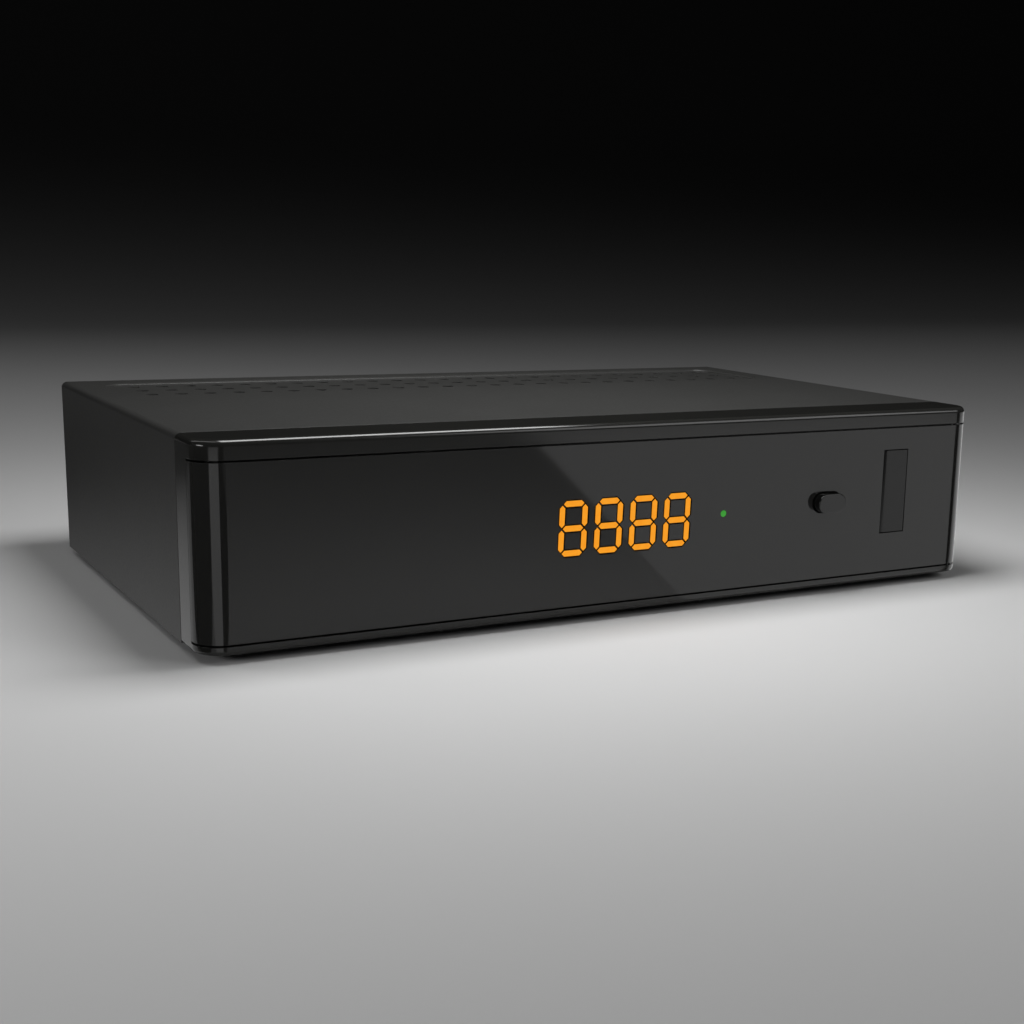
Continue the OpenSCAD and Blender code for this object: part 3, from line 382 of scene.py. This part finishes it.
# %% [markdown]
# The digits and the small point beside them give light. They are nearly black to other light and
# their own colour is slightly uneven, as light through a diffuser is. Only their front faces
# shine: the depth of a place decides that, and their sides give no more than a dull amber.

# %% Lit segments and light guide
LIT_SKIN = 0.04
UNLIT = srgb(20, 12, 4)
SIDE_GLOW = srgb(34, 18, 4)


def lit(name, deep, pale, node_name, strength):
    paint = Paint(name)
    cloud = paint.noise(scale=900, detail=1)
    skin_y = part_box(node_name)[0].y + LIT_SKIN * MM
    at_front = paint.maths("LESS_THAN", paint.depth(), skin_y)
    return paint.finish(
        Base_Color=UNLIT,
        Roughness=0.5 + cloud * 0.05,
        Specular_IOR_Level=0.1,
        Emission_Color=paint.mix(at_front, SIDE_GLOW, paint.mix(cloud, deep, pale)),
        Emission_Strength=strength,
    )


add_finishes(lit, {
    "digit_light": ((243, 146, 24), (250, 166, 44), "display_digits", 1.0),
    "led_light": ((44, 160, 44), (90, 205, 84), "led_light_pipe", 0.62),
})

# %% [markdown]
# Every CAD node now gets the finish of its slot in the record. Nodes that are hidden inside get
# theirs too, because the model can be opened.

# %% Paint the CAD nodes
slot_of = {row["node"]: row["material_slot"] for row in frame["record"]["subparts"]}
for node_name, node in frame["nodes"].items():
    node.data.materials.clear()
    node.data.materials.append(finishes[slot_of[node_name]])
print("painted", len(slot_of), "nodes with", len(finishes), "finishes")

# %% [markdown]
# ## Rounded edges
# CAD edges are knife-sharp. On a pressed or moulded piece each edge has a small radius, and that
# radius is what catches the light. The CAD nodes themselves are fixed, so a piece that needs it is
# copied, its loose triangles are merged into faces, and its sharp edges are bevelled.

# %% Helpers for selecting and editing
def pick(*pieces):
    """Selects just these pieces, and makes the last one the active one."""
    bpy.ops.object.select_all(action="DESELECT")
    for piece in pieces:
        piece.select_set(True)
    bpy.context.view_layer.objects.active = pieces[-1]


def open_edit(piece):
    """Goes into edit mode by edges, with nothing selected."""
    pick(piece)
    bpy.ops.object.mode_set(mode="EDIT")
    bpy.ops.mesh.select_mode(type="EDGE")
    bpy.ops.mesh.select_all(action="DESELECT")
    return bmesh.from_edit_mesh(piece.data)


def close_edit(piece):
    bmesh.update_edit_mesh(piece.data)
    bpy.ops.object.mode_set(mode="OBJECT")


print("pieces can be picked and edited")

# %% [markdown]
# The CAD meshes are made of triangles. In a copy, vertices that share a place are first joined,
# and then flat stretches are merged into whole faces, so that a bevel finds only true edges. A
# test can keep a stretch out of the merge, which then keeps the triangles that it came with.

# %% Copy a node
SAME_PLACE = 0.001
FLAT_WITHIN = 0.5


def anywhere(place):
    return True


def copy_of(node_name, piece_name, merged=anywhere):
    """A piece of its own with a CAD node's shape, merged into whole faces where merged() holds."""
    pick(frame["nodes"][node_name])
    bpy.ops.object.duplicate()
    piece = bpy.context.active_object
    piece.name = piece_name
    piece.parent = None
    for key in list(piece.keys()):
        del piece[key]
    open_edit(piece)
    bpy.ops.mesh.select_all(action="SELECT")
    bpy.ops.mesh.remove_doubles(threshold=SAME_PLACE * MM)
    mesh = bmesh.from_edit_mesh(piece.data)
    for edge in mesh.edges:
        if not all(merged(vertex.co) for vertex in edge.verts):
            edge.select_set(False)
    mesh.select_flush_mode()
    bmesh.update_edit_mesh(piece.data)
    bpy.ops.mesh.dissolve_limited(angle_limit=math.radians(FLAT_WITHIN))
    close_edit(piece)
    return piece


print("nodes can be copied")

# %% [markdown]
# An edge counts as sharp from 32 degrees on, so that the facets of round stretches stay as they
# are. A finished piece is shaded smooth except at its sharp edges, rides on the body of its node
# and takes the node's place in the picture.

# %% Round a piece's edges and hand it over
SHARP_FROM = 32
SMOOTH_UP_TO = 35


def round_edges(piece, radius, facets, where):
    """Bevels the sharp edges whose middle passes the test where()."""
    mesh = open_edit(piece)
    count = 0
    for edge in mesh.edges:
        joins_two = len(edge.link_faces) == 2
        sharp = joins_two and edge.calc_face_angle(0) > math.radians(SHARP_FROM)
        middle = (edge.verts[0].co + edge.verts[1].co) / 2
        if sharp and where(middle):
            edge.select = True
            count += 1
    bmesh.update_edit_mesh(piece.data)
    if count:
        bpy.ops.mesh.bevel(offset=radius * MM, segments=facets, affect="EDGES", clamp_overlap=True)
    close_edit(piece)
    return count


def hand_over(piece, node_name, flat=None):
    """Puts a piece in its node's place. Faces whose normal passes flat() stay unsmoothed."""
    pick(piece)
    bpy.ops.object.shade_smooth_by_angle(angle=math.radians(SMOOTH_UP_TO))
    if flat:
        for face in piece.data.polygons:
            face.use_smooth = not flat(face.normal)
    weights = piece.modifiers.new("even_shading", "WEIGHTED_NORMAL")
    weights.keep_sharp = True
    bpy.ops.object.modifier_apply(modifier="even_shading")
    piece.data.materials.clear()
    piece.data.materials.append(finishes[slot_of[node_name]])
    bodies = frame["record"]["behaviour"]["bodies"]
    body = next(name for name, members in bodies.items() if node_name in members)
    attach(piece, body)
    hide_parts(node_name)


print("edges can be rounded")

# %% [markdown]
# The pieces that show from outside are rounded one after the other. The table gives each its
# radius in millimetres and the number of facets across it. A press can't draw an upright step
# into sheet, so the rim of the cover's vent field first gets a slope, which is what makes it show
# as a fine light line. Punched holes keep their sharp rims.

# %% Round the outer pieces
ROUNDED = {
    "top_cover": ("cover_shell", 0.14, 2),
    "rear_panel": ("rear_plate", 0.12, 2),
    "front_frame": ("front_surround", 0.12, 2),
    "rubber_feet": ("feet_set", 0.3, 3),
    "case_screws": ("screw_set", 0.12, 2),
    "scart_body": ("scart_housing", 0.15, 2),
    "scart_shield": ("scart_screen", 0.06, 1),
    "picture_shell": ("picture_can", 0.08, 1),
    "phono_ring": ("phono_liner", 0.12, 2),
    "phono_barrel": ("phono_sleeve", 0.1, 2),
    "dc_jack_body": ("inlet_housing", 0.15, 2),
    "lnb_nut": ("aerial_nut", 0.22, 3),
    "lnb_washer": ("aerial_washer", 0.08, 2),
}
RECESS_HALF_W = 77.1
RECESS_FRONT_Y, RECESS_BACK_Y = 67.9, 94.6
RECESS_SLOPE = 0.36
LID_Z = 36


def in_recess(place, margin, below, above):
    """Whether a place is in the vent field, grown by margin, from below to above the lid."""
    low = on_case(-RECESS_HALF_W - margin, RECESS_FRONT_Y - margin, LID_Z - below)
    high = on_case(RECESS_HALF_W + margin, RECESS_BACK_Y + margin, LID_Z + above)
    return all(low[axis] < place[axis] < high[axis] for axis in range(3))


def on_recess_rim(middle):
    return in_recess(middle, margin=0, below=0.1, above=0.1)


def off_vents(middle):
    return not in_recess(middle, margin=1, below=2, above=1)


for node_name, (piece_name, radius, facets) in ROUNDED.items():
    piece = copy_of(node_name, piece_name)
    if node_name == "top_cover":
        print("rim edges", round_edges(piece, RECESS_SLOPE, facets=1, where=on_recess_rim))
    edges = round_edges(piece, radius, facets, off_vents)
    hand_over(piece, node_name)
    print(piece_name, "edges", edges, "faces", len(piece.data.polygons))

# %% [markdown]
# The smoked panel is one moulding with crisp cut-outs. Only its long outer edges, the button's
# slot and the cover's opening are rounded: the pockets of the digits stay sharp, because light
# fills them, and so does the side where the port cover is hinged, where the joint is closest. Its
# face is mirror-flat, so it keeps flat shading: smoothing would bend what it mirrors.

# %% Round the smoked panel
DIGITS_X = (-19, 21)
DIGITS_Z = (10, 23.5)
HINGE_SIDE_X = 59.55
HINGE_REACH = 0.2
FRONT_NORMAL_Y = -0.9999


def beside_digits(place):
    low = on_case(DIGITS_X[0], 0, DIGITS_Z[0])
    high = on_case(DIGITS_X[1], 0, DIGITS_Z[1])
    return not (low.x < place.x < high.x and low.z < place.z < high.z)


def off_hinge(place):
    return abs(place.x - HINGE_SIDE_X * MM) > HINGE_REACH * MM


def panel_edge(place):
    return beside_digits(place) and off_hinge(place)


def faces_front(normal):
    return normal.y < FRONT_NORMAL_Y


panel = copy_of("front_window", "smoked_panel", beside_digits)
print("panel edges", round_edges(panel, radius=0.12, facets=2, where=panel_edge))
hand_over(panel, "front_window", flat=faces_front)

# %% [markdown]
# The button's cap is a pill with a small radius round its face, so that a finger doesn't feel an
# edge. Its root stays sharp, as it is never seen or touched. The port's cover has an even finer
# radius, because its gaps are narrow.

# %% Button cap and port cover
CAP_FACE_FROM = 1.8


def near_face(place):
    return place.y < FRONT_Y - CAP_FACE_FROM * MM


cap = copy_of("standby_button", "button_cap")
print("cap edges", round_edges(cap, radius=0.22, facets=4, where=near_face))
hand_over(cap, "standby_button")

cover = copy_of("port_flap", "port_cover")
print("port cover edges", round_edges(cover, radius=0.1, facets=2, where=off_hinge))
hand_over(cover, "port_flap")

# %% [markdown]
# ## The aerial socket's thread
# The free end of the aerial socket carries a thread with 32 turns to the inch. The CAD barrel is
# plain at the thread's outer radius. A boolean could cut the thread, but it can leave slivers on
# turns as fine as these. So the wall is drawn in to the thread's root here, and a ridge is wound
# round it in the step after this one.

# %% Draw the wall in to the root
THREAD_PITCH = 25.4 / 32
THREAD_DEPTH = 0.45
SOCKET_X, SOCKET_Z = 64, 16
FREE_FROM_Y, FREE_TO_Y = 103.1, 111
OUTER_R = 4.72
ROOT_R = OUTER_R - THREAD_DEPTH
CLOSE = 0.05

barrel = copy_of("lnb_barrel", "aerial_barrel")
mesh = open_edit(barrel)
axis = on_case(SOCKET_X, 0, SOCKET_Z)
free_from = on_case(0, FREE_FROM_Y - CLOSE, 0)
moved = 0
for vertex in mesh.verts:
    reach = math.hypot(vertex.co.x - axis.x, vertex.co.z - axis.z)
    if vertex.co.y > free_from.y and abs(reach - OUTER_R * MM) < CLOSE * MM:
        share = ROOT_R * MM / reach
        vertex.co.x = axis.x + (vertex.co.x - axis.x) * share
        vertex.co.z = axis.z + (vertex.co.z - axis.z) * share
        moved += 1
close_edit(barrel)
print("vertices drawn in:", moved)

# %% [markdown]
# The ridge is one cross-section, a low trapezium whose foot is sunk a little into the wall. A
# Screw modifier sweeps it along the thread, and both ends are filled.

# %% Wind the ridge
RIDGE_START = 0.6
RIDGE_SUNK = 0.03
RIDGE_HALF_FOOT, RIDGE_HALF_CREST = 0.42, 0.09
STEPS_PER_TURN = 40
FOOT_R = ROOT_R - RIDGE_SUNK


def corners_of(mesh):
    """The four corners of a mesh that is one plane."""
    return list(next(iter(mesh.faces)).verts)


turns = int((FREE_TO_Y - FREE_FROM_Y) / THREAD_PITCH) - 1
start = on_case(SOCKET_X, FREE_FROM_Y + THREAD_PITCH * RIDGE_START, SOCKET_Z)
bpy.ops.mesh.primitive_plane_add(size=1, location=start)
ridge = bpy.context.active_object
ridge.name = "thread_ridge"
mesh = open_edit(ridge)
section = [
    (FOOT_R, -RIDGE_HALF_FOOT),
    (OUTER_R, -RIDGE_HALF_CREST),
    (OUTER_R, RIDGE_HALF_CREST),
    (FOOT_R, RIDGE_HALF_FOOT),
]
for vertex, (reach, along) in zip(corners_of(mesh), section):
    vertex.co = Vector((reach * MM, along * THREAD_PITCH * MM, 0))
bmesh.ops.delete(mesh, geom=list(mesh.faces), context="FACES_ONLY")
close_edit(ridge)
screw = ridge.modifiers.new("wind", "SCREW")
screw.axis = "Y"
screw.screw_offset = THREAD_PITCH * MM
screw.iterations = turns
screw.steps = STEPS_PER_TURN
screw.render_steps = STEPS_PER_TURN
screw.use_merge_vertices = False
bpy.ops.object.modifier_apply(modifier="wind")
print("thread turns:", turns)

# %% [markdown]
# The swept ridge is open at both ends. The two open outlines are the only edges with one face, so
# they can be picked as such and filled. Then the ridge and the barrel become one piece, as they
# are one piece of metal.

# %% Close the ridge and join it to the barrel
open_edit(ridge)
bpy.ops.mesh.select_non_manifold()
bpy.ops.mesh.edge_face_add()
bpy.ops.mesh.select_all(action="SELECT")
bpy.ops.mesh.normals_make_consistent(inside=False)
bpy.ops.object.mode_set(mode="OBJECT")
bpy.ops.object.transform_apply(location=True, rotation=True, scale=True)

pick(ridge, barrel)
bpy.ops.object.join()
hand_over(barrel, "lnb_barrel")
print("barrel faces:", len(barrel.data.polygons))

# %% [markdown]
# ## The studio
# The object stands on a plain pale floor that rises behind it in a wide curve, so that there is
# no corner. Towards the back the floor is graded down to a dark grey, as backdrop card often is:
# a black glossy front mirrors what stands behind it at a flat angle, and would look milky before
# a white wall. The floor is as matt as card, with no sheen at all.

# %% Floor and backdrop
FLOOR_HALF = 3.0
RISE_Y = 1.6
BEND_SIZE, BEND_FACETS = 0.8, 24
FADE_FROM_Y, FADE_TO_Y = 0.35, 1.3
PALE, PALER, BACK_GREY = grey(0.60), grey(0.62), grey(0.03)

floor_paint = Paint("floor_paint")
to_back = floor_paint.fade(FADE_FROM_Y, FADE_TO_Y, "SMOOTHSTEP")
pale = floor_paint.mix(floor_paint.noise(scale=5, detail=2), PALE, PALER)
floor_paint.finish(
    Base_Color=floor_paint.mix(to_back, pale, BACK_GREY),
    Roughness=0.9,
    Specular_IOR_Level=0.0,
)


def select_edges(piece, test):
    """In edit mode, selects just the edges whose both ends pass the test."""
    mesh = bmesh.from_edit_mesh(piece.data)
    for edge in mesh.edges:
        edge.select = all(test(vertex.co) for vertex in edge.verts)
    bmesh.update_edit_mesh(piece.data)


def at_back(place):
    return place.y > FLOOR_HALF - MM


def at_foot_of_wall(place):
    return abs(place.y - FLOOR_HALF) < MM and place.z < MM


bpy.ops.object.select_all(action="DESELECT")
bpy.ops.mesh.primitive_plane_add(size=2 * FLOOR_HALF, location=(0, RISE_Y - FLOOR_HALF, 0))
floor = bpy.context.active_object
floor.name = "floor"
open_edit(floor)
select_edges(floor, at_back)
bpy.ops.mesh.extrude_region_move(TRANSFORM_OT_translate={"value": (0, 0, FLOOR_HALF)})
select_edges(floor, at_foot_of_wall)
bpy.ops.mesh.bevel(offset=BEND_SIZE, segments=BEND_FACETS, affect="EDGES")
bpy.ops.object.mode_set(mode="OBJECT")
bpy.ops.object.transform_apply(location=True, rotation=True, scale=True)
bpy.ops.object.shade_smooth()
floor.data.materials.append(floor_paint.material)
print("floor faces", len(floor.data.polygons))

# %% [markdown]
# Four area lamps: a soft one close overhead and a little in front of the middle, which makes the
# cover brightest along its middle, a low one from the left, a wide one from the right, and a long
# narrow one above and behind on the left, whose reflection runs round the front's top left
# corner. Together they light at a plain level, where a colour shows about as written.

# %% Lamps
def lamp(name, place, target, size, watts, spin=0):
    """An area lamp that looks from place to target, turned about the upright by spin degrees."""
    data = bpy.data.lights.new(name, "AREA")
    data.shape = "RECTANGLE"
    data.size, data.size_y = size
    data.energy = watts
    holder = bpy.data.objects.new(name, data)
    bpy.context.scene.collection.objects.link(holder)
    holder.location = place
    aim = Vector(target) - Vector(place)
    holder.rotation_euler = aim.to_track_quat("-Z", "Y").to_euler()
    holder.rotation_euler.z += math.radians(spin)
    holder.visible_camera = False


lamp(
    "overhead",
    place=(0.0, -0.036, 0.175),
    target=(0.0, -0.016, 0),
    size=(0.12, 0.08),
    watts=0.335,
)
lamp(
    "from_left",
    place=(-0.34, -0.1, 0.09),
    target=(-0.084, -0.01, 0.01),
    size=(0.12, 0.05),
    watts=0.17,
)
lamp(
    "from_right",
    place=(0.5, -0.6, 0.45),
    target=(0, 0, 0.02),
    size=(0.4, 0.4),
    watts=1.4,
)
lamp(
    "corner_strip",
    place=(-0.3, 0.2, 0.5),
    target=(-0.3, 0.2, 0),
    size=(0.1, 0.73),
    watts=0.5,
    spin=33,
)
print("lamps:", len(bpy.data.lights))

# %% [markdown]
# A black glossy front shows little of its own. What is seen on it is what it mirrors, so such
# things are photographed between white and black cards. The photograph shows a light field with a
# slanting edge across the face, a light strip and two dark bands down the left corner, and a thin
# strip down the right one. Each is one flat card on the floor, and a card's sides are the lines
# that the camera sees mirrored. Cards show in reflections only and give no light.

# %% Card finishes
GRADED_FROM_Y, GRADED_TO_Y = 10, 205


def card_paint(name, near, far):
    """Glows as bright as near at the front of the case, and as bright as far well behind it."""
    paint = Paint(name)
    start, end = on_case(0, GRADED_FROM_Y, 0), on_case(0, GRADED_TO_Y, 0)
    return paint.finish(
        Base_Color=grey(0),
        Specular_IOR_Level=0.0,
        Emission_Color=paint.mix(paint.fade(start.y, end.y, "LINEAR"), grey(near), grey(far)),
        Emission_Strength=1.0,
    )


white = card_paint("white_card", near=0.95, far=0.95)
black = card_paint("black_card", near=0.0, far=0.0)
graded = card_paint("graded_card", near=0.5, far=0.03)
print("card finishes:", white.name, black.name, graded.name)

# %% [markdown]
# A card's corners are given in millimetres to the side and back from the middle of the front. The
# cards lie just above the floor, so that the two don't share a plane.

# %% Lay the cards
CARD_Z = -1


def card(name, corners, finish):
    bpy.ops.object.select_all(action="DESELECT")
    bpy.ops.mesh.primitive_plane_add(size=1)
    made = bpy.context.active_object
    made.name = name
    mesh = open_edit(made)
    for vertex, (x, y) in zip(corners_of(mesh), corners):
        vertex.co = on_case(x, y, CARD_Z)
    bpy.ops.mesh.select_all(action="SELECT")
    bpy.ops.mesh.normals_make_consistent(inside=False)
    bpy.ops.object.mode_set(mode="OBJECT")
    made.data.materials.append(finish)
    made.visible_camera = False
    made.visible_diffuse = False
    made.visible_shadow = False
    made.visible_transmission = False


card("face_card", [(13.2, -2), (136, -330), (420, -330), (79, -1)], white)
card("left_strip", [(-85, -5), (-308, -224), (-135, -310), (-81, -5)], white)
card("left_dark_outer", [(-85, 0), (-308, -224), (-430, 10), (-330, 247)], black)
card("left_dark_inner", [(-81, -5), (-135, -310), (-25, -306), (-79.5, -5)], black)
card("side_card", [(-84.5, 1), (-330, 247), (-330, 400), (-84.5, 400)], graded)
card("right_dark", [(80, -2), (420, -330), (500, -300), (470, -184)], black)
card("right_strip", [(82, -1), (460, -139), (460, 300), (86, 8)], white)
print("cards are laid at a height of", round(on_case(0, 0, CARD_Z).z / MM, 2), "mm")

# %% [markdown]
# The world adds an even fill from all sides, as the walls of a room would. It is kept dim: black
# has to stay black, and only what no lamp reaches needs it.

# %% World
FILL_STRENGTH = 0.08

world = bpy.data.worlds.new("studio")
world.use_nodes = True
background = world.node_tree.nodes["Background"]
background.inputs["Color"].default_value = grey(0.5)
background.inputs["Strength"].default_value = FILL_STRENGTH
bpy.context.scene.world = world
bpy.context.scene.view_settings.view_transform = "Standard"
print("the world is set")
